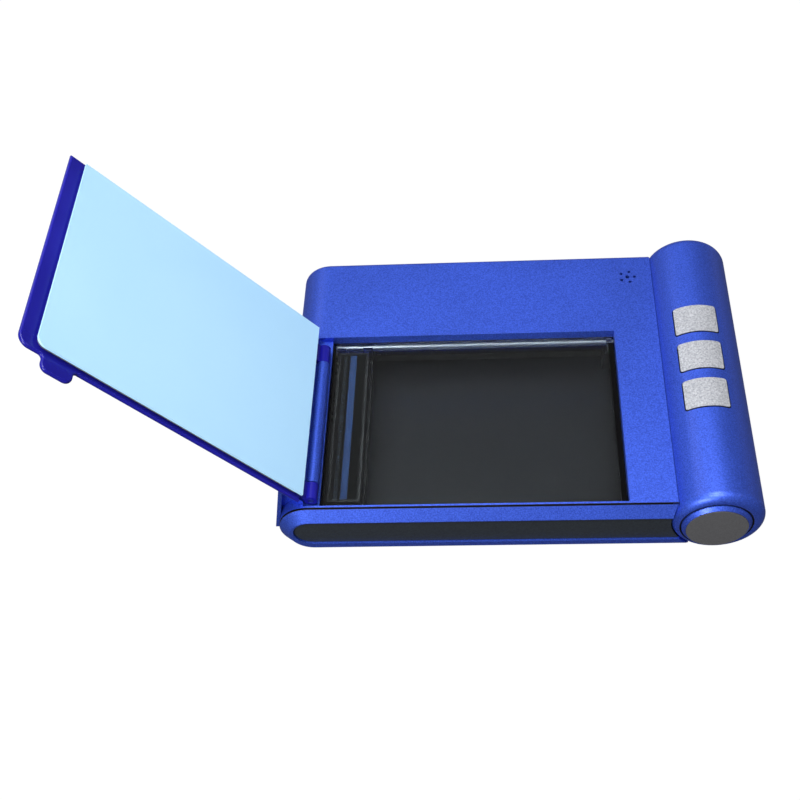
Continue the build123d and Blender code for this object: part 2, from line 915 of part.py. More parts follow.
def behind_lid(x):
    """The height, at x, of the slope that lies stop_gap behind the open lid's outer face."""
    angle = math.radians(lid_open_angle)
    distance = lid_top_z - pin_z + stop_gap
    return pin_z + (distance + math.sin(angle) * (x - pin_x)) / math.cos(angle)


def housing_outline():
    """The hinge housing's section before the body's round is taken away from it."""
    return outline(
        [
            (housing_side_x, housing_tip_z),
            (housing_crown_x, behind_lid(housing_crown_x)),
            (housing_slope_x, behind_lid(housing_slope_x)),
            (housing_web_x, housing_web_z),
            (housing_web_x, housing_tip_z),
        ]
    )


def beside_body(y, shape):
    """Places a shape drawn along Z so that it points out of the body's round, at the screws' angle."""
    return Pos(body_left_centre_x, y, split_z) * Rot(0, 90 - housing_screw_angle, 0) * shape


def housing_rib_ys():
    """The near faces of the ribs across the hinge housing, from front to back."""
    first = housing_front_y + housing_pocket
    last = housing_back_y - housing_pocket - housing_rib
    step = (last - first) / housing_bays
    return [first + step * i for i in range(housing_bays + 1)]


def housing_screw_ys():
    """One screw in the middle of each bay between two ribs."""
    ribs = housing_rib_ys()
    return [(a + b + housing_rib) / 2 for a, b in zip(ribs, ribs[1:])]


def hinge_housing():
    """The fixed hinge piece: a ribbed shell open to the body, and the barrel on its web."""
    body_round = rod_y(body_left_centre_x, split_z, end_radius + housing_hug, -reach, reach)
    whole = along_y(housing_outline(), housing_front_y, housing_back_y)
    inside = offset(housing_outline(), amount=-housing_wall, kind=Kind.INTERSECTION)
    hollow = along_y(inside, housing_front_y, housing_back_y)
    for y in housing_rib_ys():
        hollow -= block(-reach, reach, y, y + housing_rib, -reach, reach)
    for y in housing_screw_ys():
        boss_top = end_radius + housing_hug + housing_boss_depth
        hollow -= beside_body(y, rod_z(0, 0, housing_boss_radius, 0, boss_top))
    housing = whole - hollow
    housing += rod_y(pin_x, pin_z, barrel_radius, barrel_front_y, barrel_back_y)
    housing += block(
        housing_web_x - wall, pin_x, barrel_front_y, barrel_back_y, housing_web_z - web_thickness, housing_web_z
    )
    for y0, y1 in knuckle_spans:
        start = y0 - knuckle_gap
        end = y1 + knuckle_gap
        arm = block(pin_x, lid_left_x, start, end, lid_bottom_z - stop_gap, lid_top_z + stop_gap)
        housing -= open_pose(arm)
        housing -= rod_y(pin_x, pin_z, knuckle_radius + stop_gap, start, end)
    for y in housing_screw_ys():
        depth = end_radius - wall + small_screw_length + screw_fit
        housing -= beside_body(y, rod_z(0, 0, small_screw_radius + screw_fit, 0, depth))
    housing -= rod_y(pin_x, pin_z, pin_radius + pin_fit, -reach, reach)
    return housing - body_round


def hinge_pin():
    """The steel pin through both knuckles and the barrel."""
    return rod_y(pin_x, pin_z, pin_radius, knuckle_spans[1][0], knuckle_spans[0][1])


def hinge_screws():
    """Screws from inside the top cover into the hinge housing."""
    return group(
        [beside_body(y, small_screw(0, 0, end_radius - wall, -1)) for y in housing_screw_ys()]
    )


def lid_shell():
    """The lid's outer plate with its finger tab, rounded edges and two hinge knuckles."""
    sheet = corner_plate(
        lid_left_x, lid_right_x, lid_front_y, lid_back_y, lid_bottom_z, lid_top_z, lid_corner_radius
    )
    tab_root_y = lid_front_y + tab_corner_radius * 2
    sheet += plate(
        tab_left_x, tab_right_x, tab_front_y, tab_root_y, lid_bottom_z, lid_top_z, tab_corner_radius
    )
    upright = sheet.edges().filter_by(Axis.Z)
    roots = [upright.sort_by_distance((x, lid_front_y, lid_top_z))[0] for x in (tab_left_x, tab_right_x)]
    sheet = fillet(roots, tab_root_radius)
    flats = sheet.faces().sort_by(Axis.Z)
    sheet = fillet(flats[0].edges() + flats[-1].edges(), lid_edge_radius)
    for y0, y1 in knuckle_spans:
        sheet += rod_y(pin_x, pin_z, knuckle_radius, y0, y1)
        sheet += block(pin_x, lid_left_x + knuckle_web, y0, y1, lid_bottom_z, lid_top_z)
    return open_pose(sheet - rod_y(pin_x, pin_z, pin_radius + pin_fit, -reach, reach))


def lid_foam_pad():
    """The foam between the lid's plate and its white board."""
    return open_pose(
        corner_plate(
            mat_left_x + foam_inset,
            mat_right_x - foam_inset,
            mat_front_y + foam_inset,
            mat_back_y - foam_inset,
            foam_bottom_z,
            lid_bottom_z,
            mat_corner_radius,
        )
    )


def lid_backing_board():
    """The white board that presses the document on the glass."""
    return open_pose(
        corner_plate(
            mat_left_x, mat_right_x, mat_front_y, mat_back_y, mat_bottom_z, foam_bottom_z, mat_corner_radius
        )
    )


def guide_shaft():
    """The polished shaft that the carriage runs on."""
    return rod_x(shaft_y, shaft_z, shaft_radius, shaft_left_x, shaft_right_x)


def shaft_clip(x):
    """A spring steel clip over the shaft, with two legs beside its cradle."""
    x0 = x + (cradle_length - clip_width) / 2
    x1 = x0 + clip_width
    outer = shaft_radius + shaft_fit + clip_thickness
    leg_out = cradle_half_width + shaft_fit + clip_thickness
    top_z = shaft_z + outer
    foot_z = shaft_z - cradle_drop - cradle_half_width * 2
    bridge = block(x0, x1, shaft_y - leg_out, shaft_y + leg_out, foot_z, top_z)
    opening_half = leg_out - clip_thickness
    seat_z = shaft_z - cradle_drop + shaft_fit
    bridge -= block(x0, x1, shaft_y - opening_half, shaft_y + opening_half, foot_z, seat_z)
    bridge -= rod_x(shaft_y, shaft_z, shaft_radius + shaft_fit, x0, x1)
    return bridge


def sensor_carriage():
    """The tray that carries the sensor, with two open bushes on the shaft and an arm for the clamp."""
    left, right = carriage_left_x, carriage_right_x
    bush_back_y = shaft_y + bush_half_width
    tray = block(left, right, carriage_front_y, bush_back_y, tray_z, tray_top_z)
    top_z = tray_z + tray_height
    rim = block(left, right, carriage_front_y, tray_back_y, tray_z, top_z)
    rim -= block(
        left + tray_wall, right - tray_wall, carriage_front_y + tray_wall, tray_back_y - tray_wall, tray_z, top_z
    )
    tray += rim
    for x in (left, right - bush_length):
        bush_top_z = shaft_z + bush_rise
        tray += block(x, x + bush_length, shaft_y - bush_half_width, bush_back_y, tray_z, bush_top_z)
    half = clamp_width / 2
    tray += block(carriage_x - half, carriage_x + half, bush_back_y - wall, clamp_back_y, tray_z, tray_top_z)
    return tray - rod_x(shaft_y, shaft_z, shaft_radius + bush_fit, -reach, reach)


def sensor_module():
    """The contact image sensor's body, with a pocket for its window and grooves for its two bars."""
    body = block(sensor_left_x, sensor_right_x, sensor_front_y, sensor_back_y, sensor_bottom_z, sensor_top_z)
    body -= sensor_strip(sensor_left_x + window_inset, sensor_right_x - window_inset, 0, window_thickness)
    for x, width, height in sensor_bars():
        body -= sensor_strip(x - width / 2, x + width / 2, window_thickness, window_thickness + height)
    return body


def sensor_bars():
    """Middle, width and height of the light bar and the lens bar."""
    return [
        (light_bar_x, light_bar_width, light_bar_height),
        (lens_bar_x, lens_bar_width, lens_bar_height),
    ]


def sensor_strip(x0, x1, depth0, depth1):
    """A strip along the sensor between two depths below its top."""
    return block(
        x0,
        x1,
        sensor_front_y + window_inset,
        sensor_back_y - window_inset,
        sensor_top_z - depth1,
        sensor_top_z - depth0,
    )


def sensor_window():
    """The thin glass over the sensor's two bars."""
    x0 = sensor_left_x + window_inset + window_fit
    x1 = sensor_right_x - window_inset - window_fit
    return sensor_strip(x0, x1, 0, window_thickness)


def sensor_bar(index):
    """The light bar or the lens bar, lying in its groove."""
    x, width, height = sensor_bars()[index]
    half = width / 2 - window_fit
    return sensor_strip(x - half, x + half, window_thickness + window_fit, window_thickness + height)


def sensor_springs():
    """Two springs that press the sensor up towards the glass, drawn as tubes."""
    springs = []
    for y in (sensor_front_y + spring_inset, sensor_back_y - spring_inset):
        tube = rod_z(carriage_x, y, spring_radius, tray_top_z, sensor_bottom_z)
        springs.append(tube - rod_z(carriage_x, y, spring_radius - spring_wire, tray_top_z, sensor_bottom_z))
    return group(springs)


def carriage_slider():
    """The slippery foot under the carriage's front end."""
    half_width = slider_width / 2
    half_length = slider_length / 2
    return block(
        carriage_x - half_width,
        carriage_x + half_width,
        rail_y - half_length,
        rail_y + half_length,
        tray_z - slider_height,
        tray_z,
    )


def belt_clamp():
    """The clamp under the carriage's arm that grips the belt's front run."""
    x0 = carriage_x - clamp_width / 2
    x1 = carriage_x + clamp_width / 2
    bottom_z = belt_bottom_z - clamp_drop
    clamp = block(x0, x1, clamp_front_y, clamp_back_y, bottom_z, tray_z)
    slot_front_y = clamp_front_y + clamp_jaw
    slot_back_y = clamp_back_y - clamp_jaw
    return clamp - block(x0, x1, slot_front_y, slot_back_y, bottom_z, tray_z - clamp_plate)


def loop(radius, z0, z1):
    """A solid with round ends about the two pulleys."""
    middle = (idler_x + drive_x) / 2
    face = Pos(middle, belt_y) * Rectangle(drive_x - idler_x, radius * 2)
    face += Pos(idler_x, belt_y) * Circle(radius)
    face += Pos(drive_x, belt_y) * Circle(radius)
    return Pos(0, 0, z0) * extrude(face, amount=z1 - z0)


def drive_belt():
    """The flat belt round both pulleys."""
    outer = loop(belt_radius + belt_sheet / 2, belt_bottom_z, belt_top_z)
    return outer - loop(belt_radius - belt_sheet / 2, belt_bottom_z, belt_top_z)


def pulley(x):
    """A flanged pulley for the belt."""
    body = rod_z(x, belt_y, pulley_radius, pulley_bottom_z, pulley_top_z)
    body += rod_z(x, belt_y, flange_radius, pulley_bottom_z, pulley_bottom_z + pulley_flange)
    return body + rod_z(x, belt_y, flange_radius, pulley_top_z - pulley_flange, pulley_top_z)


def idler_pulley():
    """The pulley at the left end of the belt."""
    return pulley(idler_x) - rod_z(idler_x, belt_y, axle_radius + axle_fit, -reach, reach)


def idler_axle():
    """The idler's axle, with a head above the pulley."""
    head_z = pulley_top_z + pulley_clear
    axle = rod_z(idler_x, belt_y, axle_radius, inside_floor_z, head_z)
    return axle + rod_z(idler_x, belt_y, axle_head_radius, head_z, head_z + axle_head_height)


def idler_bracket():
    """The sliding plate that holds the idler's axle, with an upstand for the spring."""
    half = bracket_width / 2
    top_z = inside_floor_z + bracket_thickness
    bracket = block(bracket_left_x, bracket_right_x, belt_y - half, belt_y + half, inside_floor_z, top_z)
    bracket += rod_z(idler_x, belt_y, pulley_hub_radius, inside_floor_z, pulley_bottom_z - axle_fit)
    upstand_half = upstand_width / 2
    bracket += block(
        bracket_right_x - upstand_thickness,
        bracket_right_x,
        belt_y - upstand_half,
        belt_y + upstand_half,
        inside_floor_z,
        inside_floor_z + upstand_height,
    )
    return bracket - rod_z(idler_x, belt_y, axle_radius + axle_fit, -reach, reach)


def idler_spring():
    """The spring that pushes the bracket to tighten the belt, drawn as a tube."""
    z = inside_floor_z + upstand_height / 2
    tube = rod_x(belt_y, z, tension_spring_radius, bracket_right_x, anchor_x)
    bore = tension_spring_radius - tension_spring_wire
    return tube - rod_x(belt_y, z, bore, bracket_right_x, anchor_x)


def toothed(x, y, teeth, first_angle, z0, z1):
    """A spur gear with straight flanks: each tooth narrows from its root to its tip."""
    pitch_radius = gear_module * teeth / 2
    root = pitch_radius - gear_module * dedendum_share
    tip = pitch_radius + gear_module * addendum_share
    step = math.tau / teeth
    points = []
    for i in range(teeth):
        middle = math.radians(first_angle) + step * i
        for radius, share in (
            (root, -tooth_root_share),
            (tip, -tooth_tip_share),
            (tip, tooth_tip_share),
            (root, tooth_root_share),
        ):
            angle = middle + step * share
            points.append((x + radius * math.cos(angle), y + radius * math.sin(angle)))
    return Pos(0, 0, z0) * extrude(outline(points), amount=z1 - z0)


def drive_gear():
    """The drive pulley and the large gear on one hub."""
    gear = toothed(drive_x, belt_y, gear_teeth, motor_bearing_angle, gear_bottom_z, gear_top_z)
    hub = rod_z(drive_x, belt_y, pulley_hub_radius, pulley_top_z, gear_bottom_z)
    return pulley(drive_x) + hub + gear - rod_z(drive_x, belt_y, axle_radius + axle_fit, -reach, reach)


def drive_axle():
    """The fixed axle of the drive gear, from the floor's boss to the motor's plate."""
    return rod_z(drive_x, belt_y, axle_radius, inside_floor_z, motor_z)


def motor_pinion():
    """The small gear on the motor's shaft, with a gap between its teeth facing the large gear."""
    first_angle = motor_bearing_angle + 180 + 180 / pinion_teeth
    z0 = gear_bottom_z - gear_lift / 2
    z1 = gear_top_z + gear_lift / 2
    gear = toothed(motor_x, motor_y, pinion_teeth, first_angle, z0, z1)
    return gear - rod_z(motor_x, motor_y, motor_shaft_radius, -reach, reach)


def motor_shaft():
    """The motor's shaft, from the pinion's foot into the can."""
    z0 = gear_bottom_z - gear_lift / 2
    return rod_z(motor_x, motor_y, motor_shaft_radius, z0, motor_z + motor_shaft_depth)


def motor_plate():
    """The steel plate on two posts that holds the motor and the drive axle's top."""
    places = motor_post_places + motor_ear_places + [(drive_x, belt_y)]
    circles = [Pos(x, y) * Circle(plate_margin) for x, y in places]
    circles.append(Pos(motor_x, motor_y) * Circle(motor_radius))
    edges = [edge for circle in circles for edge in circle.edges()]
    sheet = Pos(0, 0, plate_z) * extrude(make_hull(edges), amount=plate_thickness)
    for x, y in motor_post_places + motor_ear_places:
        sheet -= rod_z(x, y, small_screw_radius + screw_fit, plate_z, motor_z)
    sheet -= rod_z(drive_x, belt_y, axle_radius + axle_fit, plate_z, motor_z)
    return sheet - rod_z(motor_x, motor_y, motor_boss_radius + plate_hole_gap, plate_z, motor_z)


def stepper_motor():
    """The motor's can with its two ears and the boss round its shaft."""
    can = rod_z(motor_x, motor_y, motor_radius, motor_z, motor_top_z)
    can = fillet(can.faces().sort_by(Axis.Z)[-1].edges(), motor_edge_radius)
    half = motor_ear_radius
    ear_top_z = motor_z + motor_ear_thickness
    can += block(
        motor_x - motor_ear_reach, motor_x + motor_ear_reach, motor_y - half, motor_y + half, motor_z, ear_top_z
    )
    for x, y in motor_ear_places:
        can += rod_z(x, y, motor_ear_radius, motor_z, ear_top_z)
    for x, y in motor_ear_places:
        can -= rod_z(x, y, small_screw_radius + screw_fit, motor_z, ear_top_z)
    can += rod_z(motor_x, motor_y, motor_boss_radius, motor_z - motor_boss_height, motor_z)
    bore_top_z = motor_z + motor_shaft_depth + axle_fit
    return can - rod_z(motor_x, motor_y, motor_shaft_radius + axle_fit, plate_z, bore_top_z)


def motor_screws():
    """Two screws through the motor's ears and two through its plate into the posts."""
    ear_z = motor_z + motor_ear_thickness
    length = motor_screw_length
    radius, head, height = small_screw_radius, small_screw_head, small_screw_head_height
    ears = [screw(x, y, ear_z, radius, length, head, height, 1) for x, y in motor_ear_places]
    return group(ears + [small_screw(x, y, motor_z, 1) for x, y in motor_post_places])


def main_board():
    """The main circuit board on its four posts."""
    board = block(
        main_board_left_x, main_board_right_x, main_board_front_y, main_board_back_y, main_board_z, board_top_z
    )
    for x, y in board_post_places:
        board -= rod_z(x, y, small_screw_radius + screw_fit, main_board_z, board_top_z)
    return board


def chip(place, length, width):
    """A flat chip on the main board."""
    x, y = place
    return block(
        x - length / 2, x + length / 2, y - width / 2, y + width / 2, board_top_z, board_top_z + chip_height
    )


def board_chips():
    """The controller and the memory."""
    return group(
        [chip(controller_place, controller_side, controller_side), chip(memory_place, memory_length, memory_width)]
    )


def capacitors():
    """The tall capacitors."""
    top_z = board_top_z + capacitor_height
    return group([rod_z(x, y, capacitor_radius, board_top_z, top_z) for x, y in capacitor_places])


def board_connectors():
    """Open boxes that the cables of the sensor, motor and buttons plug into."""
    boxes = []
    top_z = board_top_z + connector_height
    for x, y in connector_places:
        x0, x1 = x - connector_length / 2, x + connector_length / 2
        y0, y1 = y - connector_width / 2, y + connector_width / 2
        box = block(x0, x1, y0, y1, board_top_z, top_z)
        rim = connector_wall
        boxes.append(box - block(x0 + rim, x1 - rim, y0 + rim, y1 - rim, top_z - connector_depth, top_z))
    return group(boxes)


def usb_socket():
    """The small USB socket: a metal shell open to the back, with its tongue."""
    x0, x1 = socket_x - socket_width / 2, socket_x + socket_width / 2
    top_z = board_top_z + socket_height
    shell = block(x0, x1, socket_back_y - socket_depth, socket_back_y, board_top_z, top_z)
    bore_y = socket_back_y - socket_bore_depth
    shell -= block(
        x0 + socket_wall, x1 - socket_wall, bore_y, socket_back_y, board_top_z + socket_wall, top_z - socket_wall
    )
    tongue_inset = socket_wall + socket_tongue_side_gap
    tongue_z = (board_top_z + top_z - socket_tongue) / 2
    tongue_end_y = socket_back_y - socket_tongue
    return shell + block(
        x0 + tongue_inset, x1 - tongue_inset, bore_y, tongue_end_y, tongue_z, tongue_z + socket_tongue
    )


def board_screws():
    """Four screws that hold the main board on its posts."""
    return group([small_screw(x, y, board_top_z, 1) for x, y in board_post_places])


def home_switch():
    """The switch that the parked carriage presses, with its nub."""
    top_z = home_switch_z + home_switch_height
    body = home_switch_box(0, home_switch_z, top_z)
    middle_y = home_switch_y + home_switch_length / 2
    middle_z = (tray_top_z + top_z) / 2
    right = carriage_left_x - home_switch_gap
    return body + rod_x(middle_y, middle_z, home_nub_radius, right - home_nub_radius, carriage_left_x - home_nub_gap)


def beeper():
    """The beeper under its grille, with its sound port."""
    body = rod_z(beeper_x, beeper_y, beeper_radius, inside_deck_z - beeper_height, inside_deck_z)
    port_z = inside_deck_z - beeper_port_depth
    return body - rod_z(beeper_x, beeper_y, beeper_port_radius, port_z, inside_deck_z)


def rubber_feet():
    """The four feet, each sunk a little into the floor."""
    return group([rod_z(x, y, foot_radius, 0, floor_z + foot_seat) for x, y in foot_places])


def housing_screws():
    """The screws from below that hold both covers to the base."""
    return group(
        [
            screw(
                x,
                y,
                case_seat_z,
                case_screw_radius,
                case_screw_length,
                case_screw_head,
                case_screw_head_height,
                -1,
            )
            for x, y in case_screw_places
        ]
    )


nodes = {
    "base_housing": base_housing(),
    "top_cover": top_cover(),
    "console_cover": console_cover(),
    "console_front_cap": console_cap(console_front_y, -1, cap_front_proud),
    "console_rear_cap": console_cap(console_back_y, 1, cap_back_proud),
    "front_cap_disc": cap_disc(console_front_y, -1, cap_front_proud),
    "rear_cap_disc": cap_disc(console_back_y, 1, cap_back_proud),
    "front_bezel": front_bezel(),
    "front_panel": front_panel(),
    "window_glass": window_glass(),
    "hinge_housing": hinge_housing(),
    "hinge_pin": hinge_pin(),
    "hinge_screws": hinge_screws(),
    "lid_shell": lid_shell(),
    "lid_foam_pad": lid_foam_pad(),
    "lid_backing_board": lid_backing_board(),
    "button_board": button_board(),
    "button_board_screws": button_board_screws(),
    "switch_bodies": group([switch_body(index) for index in range(len(button_names))]),
    "guide_shaft": guide_shaft(),
    "shaft_clips": group([shaft_clip(left_cradle_x), shaft_clip(right_cradle_x)]),
    "sensor_carriage": sensor_carriage(),
    "sensor_module": sensor_module(),
    "sensor_window": sensor_window(),
    "light_bar": sensor_bar(0),
    "lens_bar": sensor_bar(1),
    "sensor_springs": sensor_springs(),
    "carriage_slider": carriage_slider(),
    "belt_clamp": belt_clamp(),
    "drive_belt": drive_belt(),
    "idler_pulley": idler_pulley(),
    "idler_axle": idler_axle(),
    "idler_bracket": idler_bracket(),
    "idler_spring": idler_spring(),
    "drive_gear": drive_gear(),
    "drive_axle": drive_axle(),
    "motor_pinion": motor_pinion(),
    "motor_shaft": motor_shaft(),
    "motor_plate": motor_plate(),
    "stepper_motor": stepper_motor(),
    "motor_screws": motor_screws(),
    "main_board": main_board(),
    "board_chips": board_chips(),
    "capacitors": capacitors(),
    "board_connectors": board_connectors(),
    "usb_socket": usb_socket(),
    "board_screws": board_screws(),
    "home_switch": home_switch(),
    "beeper": beeper(),
    "rubber_feet": rubber_feet(),
    "housing_screws": housing_screws(),
}
for index, name in enumerate(button_names):
    nodes["button_" + name] = button(index)
    nodes["plunger_" + name] = switch_plunger(index)

os.makedirs("parts", exist_ok=True)
for name, shape in nodes.items():
    solids = shape.solids()
    export_step(Compound(children=list(solids)) if len(solids) > 1 else solids[0], "parts/" + name + ".step")
    print(name, len(solids), "solids")
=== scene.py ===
# %% [markdown]
# # A flatbed passport reader, dressed for its portrait
# The solid model comes first, already measured and jointed. This lesson adds what solids can't
# carry: paint, glass, foam, coiled springs, light and a camera. Every length is in metres.

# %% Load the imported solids
import bpy
import json
import math
import numpy as np
from mathutils import Matrix, Vector


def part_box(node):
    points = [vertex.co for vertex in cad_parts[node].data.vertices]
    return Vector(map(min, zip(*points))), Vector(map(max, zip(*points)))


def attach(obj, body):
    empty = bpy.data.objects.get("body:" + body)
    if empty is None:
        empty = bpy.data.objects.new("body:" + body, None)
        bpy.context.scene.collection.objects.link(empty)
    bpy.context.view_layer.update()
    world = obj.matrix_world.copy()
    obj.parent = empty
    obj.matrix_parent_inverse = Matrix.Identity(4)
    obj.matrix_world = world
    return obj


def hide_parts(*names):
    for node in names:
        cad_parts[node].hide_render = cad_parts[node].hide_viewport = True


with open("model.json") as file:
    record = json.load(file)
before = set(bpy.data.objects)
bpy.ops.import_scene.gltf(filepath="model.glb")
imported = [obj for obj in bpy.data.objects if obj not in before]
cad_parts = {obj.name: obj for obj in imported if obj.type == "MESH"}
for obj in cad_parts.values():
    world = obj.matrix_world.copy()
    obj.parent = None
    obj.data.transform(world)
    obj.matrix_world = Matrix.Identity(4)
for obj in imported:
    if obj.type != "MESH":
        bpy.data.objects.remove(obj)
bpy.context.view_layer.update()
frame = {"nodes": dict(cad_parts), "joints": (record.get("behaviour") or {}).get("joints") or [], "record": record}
nodes = frame["nodes"]

# %% [markdown]
# ## The camera
# The view looks down steeply from the front. Three angles turn the camera: its pitch below the
# horizon, its yaw about the upright, and a small roll. Building the three axes by hand keeps the
# order of the turns plain, which Euler angles would hide.

# %% Build the camera from its position and three angles
eye = Vector((-0.00787, -0.35149, 0.44835))
pitch, yaw, roll = 0.97971, -0.11901, -0.11412
focal_pixels, picture_pixels, sensor_width = 1138.19, 800, 36
forward = Vector((math.sin(yaw) * math.cos(pitch), math.cos(yaw) * math.cos(pitch), -math.sin(pitch)))
level_right = Vector((math.cos(yaw), -math.sin(yaw), 0))
level_up = level_right.cross(forward)
right = level_right * math.cos(roll) + level_up * math.sin(roll)
up = level_up * math.cos(roll) - level_right * math.sin(roll)

camera = bpy.data.objects.new("portrait_camera", bpy.data.cameras.new("portrait_camera"))
bpy.context.scene.collection.objects.link(camera)
turn = Matrix((right, up, -forward)).transposed().to_4x4()
camera.matrix_world = Matrix.Translation(eye) @ turn
camera.data.sensor_width = sensor_width
camera.data.lens = focal_pixels / picture_pixels * sensor_width
camera.data.shift_x = -0.02685
camera.data.shift_y = 0.13122
camera.data.clip_start, camera.data.clip_end = 0.01, 20
bpy.context.scene.camera = camera
print("camera", round((eye - Vector((0, 0, 0.02))).length, 3), "m from the object")

# %% [markdown]
# ## Shared effects
# A material's surface is a tree of small nodes. A few helpers add them, so that each recipe
# below reads as a list of what it does and not of how nodes are wired.


# %% Helpers for node trees
def link_nodes(tree, start, end):
    """Joins an output socket to an input socket."""
    tree.links.new(start, end)


def add_node(tree, kind, **settings):
    """Adds a node and sets its plain properties."""
    node = tree.nodes.new(kind)
    for name, value in settings.items():
        setattr(node, name, value)
    return node


def calculate(tree, operation, *operands):
    """Adds a Math node; each operand is a number or an output socket."""
    node = add_node(tree, "ShaderNodeMath", operation=operation)
    for socket, value in zip(node.inputs, operands):
        if isinstance(value, (int, float)):
            socket.default_value = value
        else:
            link_nodes(tree, value, socket)
    return node.outputs[0]


def stretch_range(tree, value, start, end, low=0.0, high=1.0):
    """Maps start to low and end to high, and holds the value there on both sides."""
    node = add_node(tree, "ShaderNodeMapRange")
    for label, number in zip(("From Min", "From Max", "To Min", "To Max"), (start, end, low, high)):
        node.inputs[label].default_value = number
    link_nodes(tree, value, node.inputs["Value"])
    return node.outputs[0]


def blend_colours(tree, factor, first, second):
    """Mixes two colours by a factor; each colour is a triple or an output socket."""
    node = add_node(tree, "ShaderNodeMix", data_type="RGBA")
    link_nodes(tree, factor, node.inputs["Factor"])
    colour_sockets = node.inputs[6:8]
    for socket, value in zip(colour_sockets, (first, second)):
        if isinstance(value, tuple):
            socket.default_value = (*value, 1)
        else:
            link_nodes(tree, value, socket)
    return node.outputs[2]


def object_place(tree):
    """The Object coordinates of the point in view, which are metres here."""
    return tree.nodes.new("ShaderNodeTexCoord").outputs["Object"]


def place_on_axes(tree):
    """The same coordinates as three separate numbers."""
    parts = tree.nodes.new("ShaderNodeSeparateXYZ")
    link_nodes(tree, object_place(tree), parts.inputs[0])
    return parts.outputs


def new_group(name, inputs, outputs):
    """Makes an empty shader node group with named sockets and default values."""
    group = bpy.data.node_groups.new(name, "ShaderNodeTree")
    for label, value in inputs.items():
        socket = group.interface.new_socket(label, in_out="INPUT", socket_type="NodeSocketFloat")
        socket.default_value = value
    for label in outputs:
        group.interface.new_socket(label, in_out="OUTPUT", socket_type="NodeSocketFloat")
    return group, group.nodes.new("NodeGroupInput"), group.nodes.new("NodeGroupOutput")


def place_group(tree, group, **values):
    """Puts a node group in a material and sets its inputs by name."""
    node = add_node(tree, "ShaderNodeGroup", node_tree=group)
    for name, value in values.items():
        node.inputs[name.replace("_", " ")].default_value = value
    return node


print("helpers ready")

# %% [markdown]
# Real surfaces vary at two sizes: a slow drift in tone and a fine grain. One node group makes
# both. A scale of 1000 gives specks of a millimetre, and a stretch below 1 along one axis draws
# the specks out into scratches. Each material places the group with its own numbers.

# %% The group for drift and grain
drift_group, group_in, group_out = new_group(
    "drift_and_grain",
    {"Drift Scale": 30.0, "Grain Scale": 1500.0, "Stretch X": 1.0, "Stretch Y": 1.0, "Stretch Z": 1.0},
    ["Drift", "Grain"],
)
place = object_place(drift_group)
stretch = drift_group.nodes.new("ShaderNodeCombineXYZ")
for axis in "XYZ":
    link_nodes(drift_group, group_in.outputs["Stretch " + axis], stretch.inputs[axis])
stretched = add_node(drift_group, "ShaderNodeVectorMath", operation="MULTIPLY")
link_nodes(drift_group, place, stretched.inputs[0])
link_nodes(drift_group, stretch.outputs[0], stretched.inputs[1])
for label, vector, detail, roughness in (("Drift", place, 3, 0.5), ("Grain", stretched.outputs[0], 2, 0.6)):
    noise = add_node(drift_group, "ShaderNodeTexNoise", noise_dimensions="3D")
    noise.inputs["Detail"].default_value = detail
    noise.inputs["Roughness"].default_value = roughness
    link_nodes(drift_group, vector, noise.inputs["Vector"])
    link_nodes(drift_group, group_in.outputs[label + " Scale"], noise.inputs["Scale"])
    link_nodes(drift_group, noise.outputs[0], group_out.inputs[label])
print("group", drift_group.name, "made")

# %% [markdown]
# The case is moulded in dark plastic and painted on its outside only. A second group tells the
# inside from the outside by a box of Object coordinates: 1 where a point lies in the box.

# %% The group for a box mask
box_group, group_in, group_out = new_group(
    "inside_box",
    {"Low X": 0, "High X": 0, "Low Y": 0, "High Y": 0, "Low Z": 0, "High Z": 0},
    ["Mask"],
)
parts = place_on_axes(box_group)
mask = None
for axis in "XYZ":
    above = calculate(box_group, "GREATER_THAN", parts[axis], group_in.outputs["Low " + axis])
    below = calculate(box_group, "LESS_THAN", parts[axis], group_in.outputs["High " + axis])
    both = calculate(box_group, "MULTIPLY", above, below)
    mask = both if mask is None else calculate(box_group, "MULTIPLY", mask, both)
link_nodes(box_group, mask, group_out.inputs["Mask"])
print("group", box_group.name, "made")

# %% [markdown]
# The console is a round bar along Y, and so are its buttons' faces. Shade is painted by the
# distance from the bar's axis, on the buttons' sides and round the caps, so a third group tells how
# far a point lies from that axis.

# %% The group for a round skin
skin_group, group_in, group_out = new_group(
    "round_skin", {"Centre X": 0, "Centre Z": 0, "Radius": 0.02}, ["Mask"]
)
parts = place_on_axes(skin_group)
squares = []
for axis in "XZ":
    offset = calculate(skin_group, "SUBTRACT", parts[axis], group_in.outputs["Centre " + axis])
    squares.append(calculate(skin_group, "MULTIPLY", offset, offset))
distance = calculate(skin_group, "SQRT", calculate(skin_group, "ADD", *squares))
beyond = calculate(skin_group, "GREATER_THAN", distance, group_in.outputs["Radius"])
link_nodes(skin_group, beyond, group_out.inputs["Mask"])
print("group", skin_group.name, "made")

# %% [markdown]
# Most finishes differ only in their numbers: two colours, two roughnesses, a grain and a bump.
# One function makes them all, which keeps the surfaces of one family alike.

# %% A helper that makes a material from a few numbers
noise_low, noise_high = 0.3, 0.7


